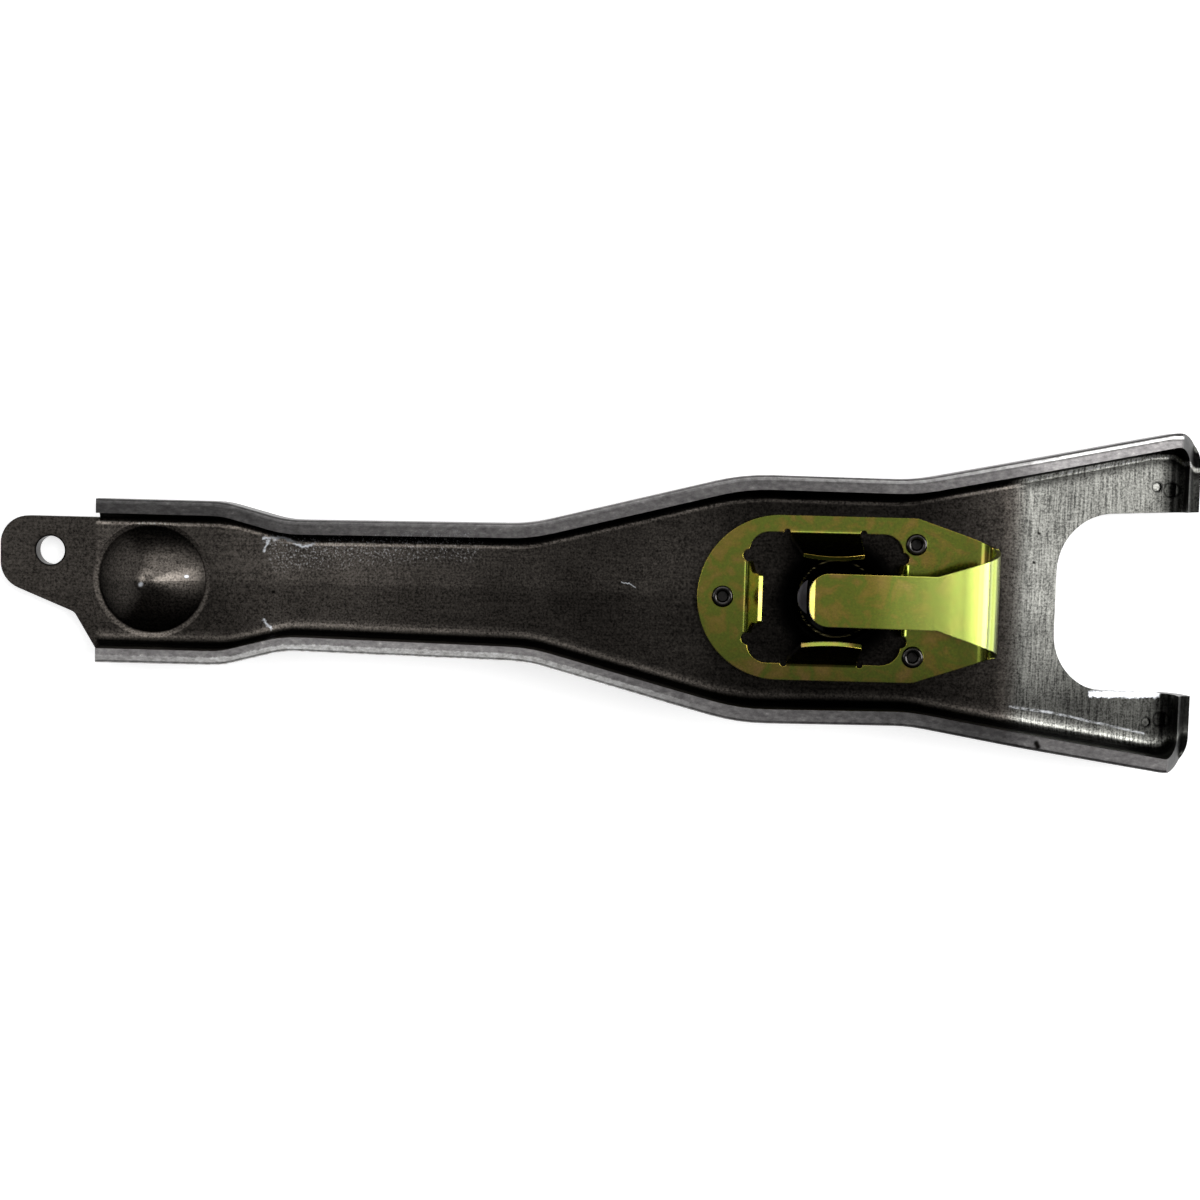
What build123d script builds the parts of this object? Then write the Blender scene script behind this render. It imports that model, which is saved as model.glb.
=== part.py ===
from build123d import *

import math
import os

# Clutch release fork: a lever pressed from thick steel sheet, with a spring clip riveted
# into it over the pivot socket. Millimetres and degrees.
# The origin is the centre of the round pivot head that sits in the socket. +X runs along
# the lever to the tines, and +Z points out of the open side of the channel. The lever is
# the same on both sides of the plane y = 0, apart from the return spring's tab and a slight
# set of the tines towards that side.

# ---- Driving dimensions ---------------------------------------------------------------

# Sheet and bends
sheet = 4.0
bend_radius = 3.2                 # inside the channel
rollover_radius = 0.9             # the punch side of a blanked edge
crank_radius = 40.0               # bends across the web, on the open side

# Pivot socket
pivot_head_radius = 11.0
pivot_head_clearance = 0.2
socket_depth = 8.0                # web down to the bottom of the bowl
socket_wall = 3.6                 # thinned by the draw
socket_lip_radius = 3.5
socket_foot_radius = 3.0

# Lengths along the lever, from the pivot
tab_reach = 237.9
flange_reach = 210.3
flange_lean = 3.0                 # how far the flange's end leans in, up to its edge
cup_reach = 194.7
heel_reach = 172.0
heel_taper_length = 17.5          # from the heel's corner to the waist
heel_bend_reach = 162.0
flare_length = 58.5               # from the end of the straight arm to the shoulder
arm_bend_reach = 44.2
shoulder_reach = 28.0
hip_reach = 19.0
tine_bend_reach = 49.5
throat_reach = 61.7
tine_reach = 101.7
lip_fall_start = 8.6              # where the flange starts down, before the tine's end
lip_fall_end = 2.4                # where it is down at the end lip

# Half widths over the flanges, and the radii where they change
heel_half_width = 22.9
waist_half_width = 18.3
arm_half_width = 19.1
shoulder_half_width = 34.2
hip_half_width = 33.9
tine_half_width = 49.3
tine_set = 1.3                    # the tines' ends lie this far towards the tab's side
heel_corner_radius = 25.0
waist_corner_radius = 30.0
arm_flare_radius = 45.0
shoulder_corner_radius = 60.0
hip_corner_radius = 50.0
tine_corner_radius = 9.0

# Heights
flange_height = 12.5              # above the web
lip_land = 0.5                    # of the end lip's back, above its bend
arm_drop = 8.3                    # web at the pivot down to web at the push rod

# Throat for the release bearing's collar
throat_half_width = 24.7
throat_corner_radius = 16.5
throat_draft = 2.0

# Push-rod cup: a cone with a rounded nose, raised into the channel
cup_radius = 15.2
cup_rim_width = 1.5
cup_rim_depth = 0.5
cup_flank_angle = 32.0
cup_wall = 3.6
rod_tip_radius = 3.0
cup_mouth_radius = 2.0

# Return spring's tab: the first four are distances across, from the lever's axis
tab_top = 17.35
tab_end_foot = -1.3               # where the straight end meets the sloping edge
tab_waist = -9.9                  # where the sloping edge turns down to the flange
tab_root = -20.9                  # where it meets the flange
tab_waist_reach = 216.8
tab_corner_radius = 8.0
tab_waist_radius = 3.0
spring_hole_radius = 4.1
spring_hole_reach = 223.7
spring_hole_height = 7.6

# Staking marks on the tines
mark_reach = 94.8
mark_half_spread = 32.8
mark_radius = 2.1
mark_depth = 0.7
small_mark_radius = 1.35
small_mark_gap = 4.2
small_mark_offset = 0.8

# Retainer clip
clip_sheet = 1.3
clip_half_width = 23.2
clip_reach = 39.5
clip_taper_start = 21.5
clip_taper = 0.335                # half width lost for each mm along the strip
clip_corner_radius = 9.0
window_left = 25.2
window_right = 17.9
window_half_width = 18.4
window_corner_radius = 5.6
clip_lift_start = 33.8
clip_lift_angle = 10.0
clip_lift_radius = 28.0
curl_radius = 4.9                 # inside the curl
tongue_half_width = 7.4
tongue_slope = 6.0
tongue_end_reach = 8.9            # past the pivot
tongue_tip_angle = 16.0
tongue_tip_length = 1.6
tongue_tip_radius = 3.0
tongue_corner_radius = 5.5

# Grip tabs round the clip's window, bent up towards the pivot head
grip_bend_radius = 1.6            # inside the bend
side_grip_set_back = 0.75         # bend line behind the window's edge
side_grip_angle = 60.0
side_grip_length = 11.0           # of the flat blade, at its middle
side_grip_bow = 1.4               # how far the blade's end is bowed
side_grip_reach = 5.7             # the straight side, past the pivot
side_grip_half_width = 9.8
side_grip_slant = 2.9             # how far the side nearer the arm leans in
side_relief_radius = 0.9          # notch beside the root, for the bend
end_grip_angle = 69.0
end_grip_length = 6.6
end_grip_root_half_width = 10.0
end_grip_half_width = 6.9
end_grip_neck = 2.4               # from the bend to the narrow part
end_grip_neck_radius = 2.4
end_grip_tip_radius = 0.8
end_grip_set_back = 1.7           # bend line behind the window's edge

# Rivets
rivet_reach_arm = 32.4
rivet_reach_tine = 21.4
rivet_half_spread = 15.8
rivet_shank_radius = 2.1
rivet_bore_radius = 1.35
rivet_clearance = 0.05
rivet_roll_radius = 3.1
rivet_roll_height = 1.0
rivet_head_radius = 4.0
rivet_head_height = 1.4
rivet_bore_depth = 3.6

# ---- Worked-out levels ----------------------------------------------------------------

bowl_radius = pivot_head_radius + pivot_head_clearance
web_level = socket_depth - bowl_radius        # open face of the web at the pivot
arm_level = web_level - arm_drop              # open face of the web at the push rod
outer_bend_radius = bend_radius + sheet
waist_reach = heel_reach - heel_taper_length
arm_flare_reach = shoulder_reach + flare_length
lip_fall_reach = tine_reach - lip_fall_start
window_middle = (window_right - window_left) / 2
side_grip_middle = side_grip_reach - side_grip_half_width
far = 2 * tab_reach                           # longer than the lever: for cutting blocks
drill_length = 4 * sheet                      # through the web and the clip together
same_place = 0.01                             # nearer than this counts as the same place
facing = 0.5                                  # cosine past which a face looks up or down


def tine_slope():
    """The angle that brings the backs of the tines level with the back of the arm's end."""
    run = tine_reach - outer_bend_radius - tine_bend_reach
    rise = arm_drop + sheet
    return math.acos(sheet / math.hypot(run, rise)) - math.atan2(run, rise)


def lip_height():
    """How far the end lip stands above the web: enough for the whole of its outer bend."""
    slope = tine_slope()
    bend = outer_bend_radius / math.tan((math.pi / 2 - slope) / 2)
    return bend + lip_land - sheet / math.cos(slope)


# ---- Outlines that stay parallel ------------------------------------------------------


def parallel_path(points, radii, distance):
    """A path of straight runs and rounded corners, moved to its left by a distance.

    The corners stay concentric, so that two such paths bound an even sheet.
    """
    headings = [
        math.atan2(end[1] - start[1], end[0] - start[0])
        for start, end in zip(points, points[1:])
    ]
    before = [headings[0], *headings]
    after = [*headings, headings[-1]]
    moved = []
    for (x, y), first, second in zip(points, before, after):
        middle = (first + second) / 2 + math.pi / 2
        reach = distance / math.cos((second - first) / 2)
        moved.append((x + reach * math.cos(middle), y + reach * math.sin(middle)))
    new_radii = [
        radius - distance * math.copysign(1, second - first)
        for radius, first, second in zip(radii, headings, headings[1:])
    ]
    return moved, new_radii


def path_height(points, x):
    """The height of a path of straight runs at one distance along the lever."""
    for (x0, z0), (x1, z1) in zip(points, points[1:]):
        if x0 <= x <= x1:
            return z0 + (z1 - z0) * (x - x0) / (x1 - x0)
    raise ValueError("the path doesn't reach this far")


# ---- Fork lever -----------------------------------------------------------------------


def plan_side(side, inset):
    """One side of the channel from above, from the arm's end to the end of the tines."""
    points = [
        (-far, heel_half_width),
        (-heel_reach, heel_half_width),
        (-waist_reach, waist_half_width),
        (-arm_flare_reach, arm_half_width),
        (-shoulder_reach, shoulder_half_width),
        (hip_reach, hip_half_width),
        (tine_reach, tine_half_width + side * tine_set),
        (tine_reach, 0),
    ]
    radii = [
        heel_corner_radius,
        waist_corner_radius,
        arm_flare_radius,
        shoulder_corner_radius,
        hip_corner_radius,
        tine_corner_radius,
    ]
    points, radii = parallel_path(points, radii, -inset)
    return FilletPolyline(*[(x, side * y) for x, y in points], radius=radii)


def channel_plan(inset):
    """The channel seen from above, with both flanges, inside the outer line by an inset."""
    upper = plan_side(1, inset)
    lower = plan_side(-1, inset)
    return make_face([upper, lower, Line(upper @ 0, lower @ 0)])


def web_path():
    """The open face of the web, from the side: level, up the arm, level, down the tines."""
    slope = tine_slope()
    beyond = tine_reach + flange_height
    points = [
        (-far, arm_level),
        (-heel_bend_reach, arm_level),
        (-arm_bend_reach, web_level),
        (tine_bend_reach, web_level),
        (beyond, web_level - (beyond - tine_bend_reach) * math.tan(slope)),
    ]
    return points, [crank_radius] * 3


def flange_path():
    """The flange's edge, which follows the web and comes down to a low lip at the tines."""
    points, radii = parallel_path(*web_path(), flange_height)
    web_points = web_path()[0]
    lip_start = (lip_fall_reach, path_height(points, lip_fall_reach))
    lip_line = [
        (x, path_height(web_points, x) + lip_height())
        for x in (tine_reach - lip_fall_end, tine_reach + sheet)
    ]
    return [*points[:-1], lip_start, *lip_line], [*radii, 0, 0]


def rounded_path(points, radii):
    """Straight runs through the points, with each inner corner rounded."""
    return FilletPolyline(*points, radius=radii) if radii else Polyline(*points)


def side_band(lower, upper):
    """The block between two side paths, as wide as the channel and wider."""
    low = rounded_path(*lower)
    high = rounded_path(*upper)
    left = Line(lower[0][0], upper[0][0])
    right = Line(lower[0][-1], upper[0][-1])
    face = Plane.XZ * make_face([low, high, left, right])
    return extrude(face, amount=2 * tine_half_width, both=True)


def rim_edges(block, direction):
    """The edges where the block's walls meet its floor or its top, apart from the left end."""
    flats = [face for face in block.faces() if face.normal_at().Z * direction > facing]
    counts = {}
    for edge in [edge for face in flats for edge in face.edges()]:
        counts[edge] = counts.get(edge, 0) + 1
    left = block.bounding_box().min.X
    return [
        edge
        for edge, count in counts.items()
        if count == 1 and edge.bounding_box().max.X > left + sheet
    ]


def pressed_block(inset, lower, upper, radius):
    """One skin of the channel as a solid block, with its floor edge rounded."""
    plan = extrude(channel_plan(inset), amount=far, both=True)
    block = plan & side_band(lower, upper)
    return fillet(rim_edges(block, -1), radius)


def channel():
    """The bare channel: its outer block less its inner block, one sheet thick."""
    open_face = web_path()
    back_face = parallel_path(*open_face, -sheet)
    above = [(x, far) for x, _ in (open_face[0][0], open_face[0][-1])]
    outer = pressed_block(0, back_face, flange_path(), outer_bend_radius)
    flange_edges = [
        edge
        for edge in rim_edges(outer, 1)
        if edge.bounding_box().max.X < lip_fall_reach + same_place
    ]
    outer = fillet(flange_edges, rollover_radius)
    inner = pressed_block(sheet, open_face, (above, []), bend_radius)
    return outer - inner


def tab_face():
    """The return spring's tab from above, with its corners rounded."""
    outline = FilletPolyline(
        (-flange_reach + sheet, tab_top),
        (-tab_reach, tab_top),
        (-tab_reach, tab_end_foot),
        (-tab_waist_reach, tab_waist),
        (-flange_reach, tab_root),
        (-flange_reach + sheet, tab_root),
        radius=[tab_corner_radius, tab_corner_radius, tab_waist_radius, 0],
    )
    return make_face([outline, Line(outline @ 0, outline @ 1)])


def end_trim():
    """What is kept of the channel's left end: the tab, and all to the right of the shear."""
    tab = Pos(0, 0, arm_level) * extrude(tab_face(), amount=-far)
    back = arm_level - sheet
    lean = flange_lean / (flange_height + sheet)
    shear = Polygon(
        (-flange_reach, back),
        (-flange_reach + lean * far, back + far),
        (far, back + far),
        (far, -far),
        (-flange_reach, -far),
        align=None,
    )
    return tab + extrude(Plane.XZ * shear, amount=far, both=True)


def throat():
    """The gap for the bearing's collar, which opens a little towards the tips."""
    reach = tine_reach + sheet
    widening = (reach - throat_reach) * math.tan(math.radians(throat_draft))
    set_slope = tine_set / (tine_reach - hip_reach)
    near_set = (throat_reach - hip_reach) * set_slope / 2
    far_set = (reach - hip_reach) * set_slope / 2
    outline = FilletPolyline(
        (reach, throat_half_width + widening + far_set),
        (throat_reach, throat_half_width + near_set),
        (throat_reach, near_set - throat_half_width),
        (reach, far_set - throat_half_width - widening),
        radius=throat_corner_radius,
    )
    closing = Line(outline @ 0, outline @ 1)
    return extrude(make_face([outline, closing]), amount=far, both=True)


def turned(section):
    """A solid turned about the vertical axis, from its half section of radius and height."""
    return revolve(Plane.XZ * section, Axis.Z)


def cup_cone(rim_height, radius, angle, nose_radius, floor):
    """A solid cone with a rounded nose, whose flank passes through a radius and height."""
    lean = math.radians(angle)
    apex = rim_height + radius * math.tan(lean)
    foot = (apex - floor) / math.tan(lean)
    middle = apex - nose_radius / math.cos(lean)
    touch, halfway, top = [
        (nose_radius * math.sin(turn), middle + nose_radius * math.cos(turn))
        for turn in (lean, lean / 2, 0)
    ]
    flank = Polyline((0, floor), (foot, floor), touch)
    nose = ThreePointArc(touch, halfway, top)
    return turned(make_face([flank, nose, Line(top, (0, floor))]))


def push_rod_cup(lever):
    """Raise the push-rod cup out of the arm's web, hollow from the back."""
    place = Pos(-cup_reach, 0, arm_level)
    nose_radius = rod_tip_radius + cup_wall
    mid_web = -sheet / 2
    bump = cup_cone(-cup_rim_depth, cup_radius, cup_flank_angle, nose_radius, mid_web)
    flank_foot = cup_radius - cup_rim_depth / math.tan(math.radians(cup_flank_angle))
    rim = turned(
        Polygon(
            (flank_foot, 0),
            (cup_radius, -cup_rim_depth),
            (cup_radius + cup_rim_width, 0),
            align=None,
        )
    )
    lift = cup_wall / math.cos(math.radians(cup_flank_angle))
    hollow = cup_cone(
        -cup_rim_depth - lift, cup_radius, cup_flank_angle, rod_tip_radius, -2 * sheet
    )
    lever = lever + place * bump
    lever = lever - place * rim - place * hollow
    mouth = (
        lever.edges()
        .filter_by(GeomType.CIRCLE)
        .filter_by(lambda edge: abs(edge.arc_center.X + cup_reach) < same_place)
        .sort_by(Axis.Z)[0]
    )
    return fillet(mouth, cup_mouth_radius)


def round_edge(lever, level):
    """The circle round the pivot at one height."""
    return (
        lever.edges()
        .filter_by(GeomType.CIRCLE)
        .filter_by(lambda edge: math.hypot(edge.arc_center.X, edge.arc_center.Y) < same_place)
        .sort_by(lambda edge: abs(edge.arc_center.Z - level))[0]
    )


def pivot_socket(lever):
    """Draw the pivot head's seat down out of the web."""
    below = Pos(0, 0, web_level - sheet / 2 - far / 2) * Box(far, far, far)
    lever = lever + (Sphere(bowl_radius + socket_wall) & below)
    foot = round_edge(lever, web_level - sheet)
    lever = fillet(foot, socket_foot_radius)
    lever = lever - Sphere(bowl_radius)
    lip = round_edge(lever, web_level)
    return fillet(lip, socket_lip_radius)


def rivet_places():
    """The three rivets, on the web at the pivot."""
    return [
        (-rivet_reach_arm, 0),
        (rivet_reach_tine, rivet_half_spread),
        (rivet_reach_tine, -rivet_half_spread),
    ]


def rivet_holes():
    """The holes that the rivets pass through, in the web and the clip alike."""
    return [
        Pos(x, y, web_level) * Cylinder(rivet_shank_radius + rivet_clearance, drill_length)
        for x, y in rivet_places()
    ]


def staking_marks():
    """Two shallow round marks on each tine, square to the sloping web."""
    slope = math.degrees(tine_slope())
    web_points = web_path()[0]
    marks = []
    for side in (1, -1):
        for step, spread, radius in (
            (0, 0, mark_radius),
            (small_mark_gap, small_mark_offset, small_mark_radius),
        ):
            x = mark_reach - step
            place = Pos(x, side * (mark_half_spread + spread), path_height(web_points, x))
            marks.append(place * Rot(0, slope, 0) * Cylinder(radius, 2 * mark_depth))
    return marks


def spring_hole():
    """The return spring's hole, right through the tab."""
    place = Pos(-spring_hole_reach, spring_hole_height, arm_level)
    return place * Cylinder(spring_hole_radius, drill_length)


def fork_lever():
    """The whole lever, as one pressing."""
    lever = channel() & end_trim()
    lever = lever - throat()
    lever = push_rod_cup(lever)
    lever = pivot_socket(lever)
    for cut in [spring_hole(), *rivet_holes(), *staking_marks()]:
        lever = lever - cut
    return lever


# ---- Retainer clip --------------------------------------------------------------------


def bent_strip(edges, half_widths):
    """A strip of clip sheet laid along the left of a side path, as wide as asked."""
    half = make_brake_formed(clip_sheet, half_widths, Wire(edges), Side.LEFT)
    return half + mirror(half, Plane.XY)


def stood_at(x, y, heading, strip):
    """A bent strip stood on the web, heading one way in plan."""
    direction = Vector(1, 0, 0).rotate(Axis.Z, heading)
    plane = Plane(
        origin=(x, y, web_level), x_dir=direction, z_dir=direction.cross(Vector(0, 0, 1))
    )
    return plane * strip


def clip_frame():
    """The clip's flat frame, with its window cut back to the bend line of each grip."""
    round_end = clip_half_width - clip_reach
    taper_end = clip_half_width - clip_taper * (clip_lift_start - clip_taper_start)
    upper = FilletPolyline(
        (round_end, clip_half_width),
        (clip_taper_start, clip_half_width),
        (clip_lift_start, taper_end),
        radius=[clip_corner_radius],
    )
    lower = mirror(upper, Plane.XZ)
    end = Line((clip_lift_start, taper_end), (clip_lift_start, -taper_end))
    nose = ThreePointArc(
        (round_end, clip_half_width), (-clip_reach, 0), (round_end, -clip_half_width)
    )
    frame = make_face([upper, lower, end, nose])
    window = Pos(window_middle, 0) * RectangleRounded(
        window_left + window_right, 2 * window_half_width, window_corner_radius
    )
    roots = Pos(window_middle, 0) * Rectangle(
        window_left + window_right + 2 * end_grip_set_back, 2 * end_grip_root_half_width
    )
    roots = roots + Pos(side_grip_middle, 0) * Rectangle(
        2 * side_grip_half_width, 2 * (window_half_width + side_grip_set_back)
    )
    flat = frame - window - roots
    for relief in bend_reliefs():
        flat = flat - relief
    return Pos(0, 0, web_level) * extrude(flat, amount=clip_sheet)


def bend_reliefs():
    """Round notches in the window's edge, one on each side of each grip's root."""
    side_reach = side_grip_half_width + side_relief_radius
    end_reach = end_grip_root_half_width + end_grip_set_back
    reliefs = []
    for y_side in (1, -1):
        for x_side in (1, -1):
            place = Pos(side_grip_middle + x_side * side_reach, y_side * window_half_width)
            reliefs.append(place * Circle(side_relief_radius))
        for x in (-window_left, window_right):
            reliefs.append(Pos(x, y_side * end_reach) * Circle(end_grip_set_back))
    return reliefs


def side_blade():
    """A side grip's blade, flat: one side leans in, and the end is bowed."""
    corner = side_grip_length - side_grip_bow
    near_arm = side_grip_slant - side_grip_half_width
    middle = side_grip_slant / 2
    sides = Polyline(
        (corner, near_arm),
        (0, -side_grip_half_width),
        (0, side_grip_half_width),
        (corner, side_grip_half_width),
    )
    bowed_end = ThreePointArc(sides @ 1, (side_grip_length, middle), sides @ 0)
    return make_face([sides, bowed_end])


def end_blade():
    """An end grip's blade, flat: it narrows at once, and then runs straight to its end."""
    outline = FilletPolyline(
        (0, -end_grip_root_half_width),
        (end_grip_neck, -end_grip_half_width),
        (end_grip_length, -end_grip_half_width),
        (end_grip_length, end_grip_half_width),
        (end_grip_neck, end_grip_half_width),
        (0, end_grip_root_half_width),
        radius=[
            end_grip_neck_radius,
            end_grip_tip_radius,
            end_grip_tip_radius,
            end_grip_neck_radius,
        ],
    )
    return make_face([outline, Line(outline @ 1, outline @ 0)])


def grip(blade, angle, half_width):
    """One grip tab: a short root in the frame, a bend, and its blade."""
    root = Line((-2 * clip_sheet, 0), (0, 0))
    bend = JernArc(root @ 1, (1, 0), grip_bend_radius + clip_sheet, angle)
    foot = bent_strip([root, bend], [half_width] * 3)
    along = bend % 1
    blade_plane = Plane(origin=bend @ 1, x_dir=along, z_dir=along.rotate(Axis.Z, 90))
    return foot + blade_plane * extrude(blade, amount=clip_sheet)


def grips():
    """The four grip tabs round the window: one on each side and one at each end."""
    side = grip(side_blade(), side_grip_angle, side_grip_half_width)
    end = grip(end_blade(), end_grip_angle, end_grip_root_half_width)
    side_line = window_half_width + side_grip_set_back
    upper = stood_at(side_grip_middle, side_line, -90, side)
    return [
        upper,
        mirror(upper, Plane.XZ),
        stood_at(-window_left - end_grip_set_back, 0, 0, end),
        stood_at(window_right + end_grip_set_back, 0, 180, end),
    ]


def tongue():
    """The strip past the frame: it lifts, curls right over and narrows to the tongue."""
    outer = curl_radius + clip_sheet
    run = Line((clip_taper_start, 0), (clip_lift_start, 0))
    lift = JernArc(run @ 1, (1, 0), clip_lift_radius, clip_lift_angle)
    curl = JernArc(lift @ 1, lift % 1, outer, 180 - clip_lift_angle + tongue_slope)
    tapered = (clip_half_width - tongue_half_width) / clip_taper
    flare_length = tapered - run.length - lift.length - curl.length
    flare = Line(curl @ 1, (curl @ 1) + (curl % 1) * flare_length)
    rise = math.radians(tongue_tip_angle - tongue_slope)
    slope = math.radians(tongue_slope)
    tip_run = tongue_tip_radius * (math.sin(slope) + math.sin(rise))
    tip_run += tongue_tip_length * math.cos(rise)
    blade_run = (flare @ 1).X + tongue_end_reach - tip_run
    blade = Line(flare @ 1, (flare @ 1) + (curl % 1) * (blade_run / math.cos(slope)))
    turn = JernArc(blade @ 1, blade % 1, tongue_tip_radius, -tongue_tip_angle)
    tip = Line(turn @ 1, (turn @ 1) + (turn % 1) * tongue_tip_length)
    edges = [run, lift, curl, flare, blade, turn, tip]
    half_widths = [clip_half_width]
    length = 0
    for edge in edges:
        length += edge.length
        half_widths.append(max(tongue_half_width, clip_half_width - clip_taper * length))
    strip = stood_at(0, 0, 0, bent_strip(edges, half_widths))
    return strip - tongue_corners()


def tongue_corners():
    """What is cut off the tongue's end to round its two corners."""
    reach = tongue_corner_radius
    corners = Part()
    for side in (1, -1):
        middle = Pos(reach - tongue_end_reach, side * (tongue_half_width - reach))
        corner = middle * (
            Pos(-reach, side * reach) * Rectangle(2 * reach, 2 * reach) - Circle(reach)
        )
        corners = corners + extrude(corner, amount=far, both=True)
    return corners


def pivot_retainer_clip():
    """The whole clip, bent from one strip of spring steel."""
    clip = clip_frame() + tongue()
    for tab in grips():
        clip = clip + tab
    for hole in rivet_holes():
        clip = clip - hole
    return clip


# ---- Rivets ---------------------------------------------------------------------------


def clip_rivet(x, y):
    """A semi-tubular rivet: its head at the web's back, its rolled end on the clip."""
    back = -sheet
    head_edge = rivet_head_height / 2
    shank = Polyline(
        (0, back - rivet_head_height),
        (rivet_head_radius - head_edge, back - rivet_head_height),
        (rivet_head_radius, back - head_edge),
        (rivet_head_radius, back),
        (rivet_shank_radius, back),
        (rivet_shank_radius, clip_sheet),
        (rivet_roll_radius, clip_sheet),
    )
    roll_middle = (rivet_roll_radius + rivet_bore_radius) / 2
    roll = ThreePointArc(
        (rivet_roll_radius, clip_sheet),
        (roll_middle, clip_sheet + rivet_roll_height),
        (rivet_bore_radius, clip_sheet),
    )
    floor = clip_sheet - rivet_bore_depth
    bore = Polyline(
        (rivet_bore_radius, clip_sheet),
        (rivet_bore_radius, floor),
        (0, floor),
        (0, back - rivet_head_height),
    )
    return Pos(x, y, web_level) * turned(make_face([shank, roll, bore]))


# ---- Hand over ------------------------------------------------------------------------


def main():
    pieces = {
        "fork_lever": fork_lever(),
        "pivot_retainer_clip": pivot_retainer_clip(),
    }
    for number, (x, y) in enumerate(rivet_places(), start=1):
        pieces[f"clip_rivet_{number}"] = clip_rivet(x, y)
    os.makedirs("parts", exist_ok=True)
    for name, piece in pieces.items():
        solid = piece.solid()
        print(name, "volume", round(solid.volume), "size", solid.bounding_box().size)
        export_step(solid, f"parts/{name}.step")


main()
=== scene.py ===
# %% [markdown]
# # A pressed clutch fork on a studio table
#
# A clutch fork is a lever. A push rod lifts one end, the lever rocks on a round pivot head,
# and its two tines push the release bearing's collar. This one is a channel pressed from
# 4 mm steel sheet, with a plated spring clip riveted into it.
#
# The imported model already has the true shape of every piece, so this lesson is about
# finish and light. Nothing is modelled twice: each piece keeps its mesh and gets a material
# that says what it is made of and how it was made.

# %% Load the frame
import math

import bpy
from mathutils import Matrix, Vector


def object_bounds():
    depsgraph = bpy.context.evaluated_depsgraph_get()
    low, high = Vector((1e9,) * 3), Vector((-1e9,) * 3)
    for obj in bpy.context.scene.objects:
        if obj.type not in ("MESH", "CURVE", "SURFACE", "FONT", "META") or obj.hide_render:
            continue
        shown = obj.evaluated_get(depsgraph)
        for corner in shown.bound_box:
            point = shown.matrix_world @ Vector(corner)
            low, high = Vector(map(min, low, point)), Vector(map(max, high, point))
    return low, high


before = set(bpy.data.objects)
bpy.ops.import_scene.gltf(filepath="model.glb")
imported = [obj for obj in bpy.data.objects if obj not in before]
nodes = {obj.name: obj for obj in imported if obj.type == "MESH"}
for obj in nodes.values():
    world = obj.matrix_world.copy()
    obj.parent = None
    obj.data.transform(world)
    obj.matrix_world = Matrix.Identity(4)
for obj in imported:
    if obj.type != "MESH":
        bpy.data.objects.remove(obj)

cad_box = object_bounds()
print("nodes:", sorted(nodes))
print("CAD box:", cad_box)

# %% [markdown]
# ## Two small helpers
#
# Lengths on a drawing are in millimetres and Blender's are in metres. Colours are easier to
# read as the hex values that a paint or plating chart gives, but a shader needs them linear.
# And a node tree is easier to follow when one function adds a node, sets it and links it.

# %% Helpers
MM = 0.001


def linear(hex_colour):
    """An sRGB hex colour as linear red, green, blue and alpha."""
    channels = [int(hex_colour[place : place + 2], 16) / 255 for place in (1, 3, 5)]
    return [
        value / 12.92 if value <= 0.04045 else ((value + 0.055) / 1.055) ** 2.4
        for value in channels
    ] + [1.0]


def add(tree, kind, settings=None, links=None, stops=None):
    """Add one node. Settings name its properties or inputs, and links feed its inputs.

    Stops are the places and hex colours of a colour ramp.
    """
    node = tree.nodes.new("ShaderNode" + kind)
    for name, value in (settings or {}).items():
        if isinstance(name, str) and hasattr(node, name):
            setattr(node, name, value)
        else:
            node.inputs[name].default_value = value
    for name, source in (links or {}).items():
        tree.links.new(source, node.inputs[name])
    if stops:
        ramp = node.color_ramp
        while len(ramp.elements) < len(stops):
            ramp.elements.new(0.5)
        for element, (place, colour) in zip(ramp.elements, stops):
            element.position = place
            element.color = linear(colour)
    return node


print("helpers ready; mid grey is", [round(value, 3) for value in linear("#808080")])

# %% [markdown]
# ## The table
#
# The lever lies on its back, with the open side of the channel up. The table is one wide
# plane just under it, and a low round wall nine metres off closes the view. Both are plain
# pale paper. Its fibres are finer than a tenth of a millimetre and are drawn about one
# millimetre wide. A table that only glowed would lose the lever's shadow, so the paper is
# matt, and a little glow for camera, glossy and transmission rays lifts it to white.

# %% Table
table_level = cad_box[0][2] - 0.2 * MM
wall_radius = 9.0
lift_to_white = 0.72
paper = bpy.data.materials.new("white_paper")
paper.use_nodes = True
tree = paper.node_tree
tree.nodes.clear()
coordinates = add(tree, "TexCoord")
fibres = add(tree, "TexNoise", {"Scale": 900.0, "Detail": 3.0},
             {"Vector": coordinates.outputs["Object"]})
tone = add(tree, "ValToRGB", links={"Fac": fibres.outputs["Fac"]},
           stops=[(0.3, "#d4d4d4"), (0.7, "#dcdcdc")])
sheet = add(tree, "BsdfDiffuse", links={"Color": tone.outputs["Color"]})
path = add(tree, "LightPath")
rays = add(tree, "Math", {"operation": "MAXIMUM"},
           {0: path.outputs["Is Camera Ray"], 1: path.outputs["Is Glossy Ray"]})
rays = add(tree, "Math", {"operation": "MAXIMUM"},
           {0: rays.outputs[0], 1: path.outputs["Is Transmission Ray"]})
strength = add(tree, "Math", {"operation": "MULTIPLY", 1: lift_to_white}, {0: rays.outputs[0]})
glow = add(tree, "Emission", links={"Strength": strength.outputs[0]})
both = add(tree, "AddShader", links={0: sheet.outputs[0], 1: glow.outputs[0]})
add(tree, "OutputMaterial", links={"Surface": both.outputs[0]})

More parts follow.
